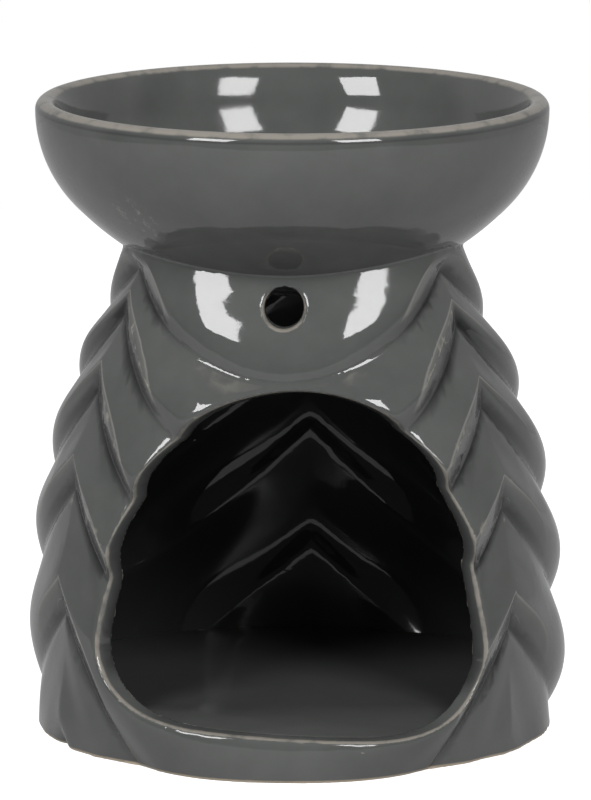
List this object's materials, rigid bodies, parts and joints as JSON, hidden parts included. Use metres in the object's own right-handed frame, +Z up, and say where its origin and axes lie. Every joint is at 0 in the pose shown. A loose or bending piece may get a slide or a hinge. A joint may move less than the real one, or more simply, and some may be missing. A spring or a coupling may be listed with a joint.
{
  "type": "essential oil burner",
  "caption": "Glazed ceramic oil burner: a round dish for water and scented oil on a bell-shaped body with swagged relief and an arched tealight chamber.",
  "frame": {"origin": "centre of the body's axis on the flat underside of the foot ring", "axes": "+Z up along the body's axis, -Y towards the front, where the arch and the vent hole are, +X to the right seen from the front; the dish's own axis is 0.6 mm to the left of the body's"},
  "size_m": [0.1021, 0.1013, 0.12],
  "materials": {
    "grey_glaze": "gloss"
  },
  "bodies": {
    "root": {"burner_body": "grey_glaze", "oil_bowl": "grey_glaze", "chamber_floor": "grey_glaze"}
  },
  "joints": []
}
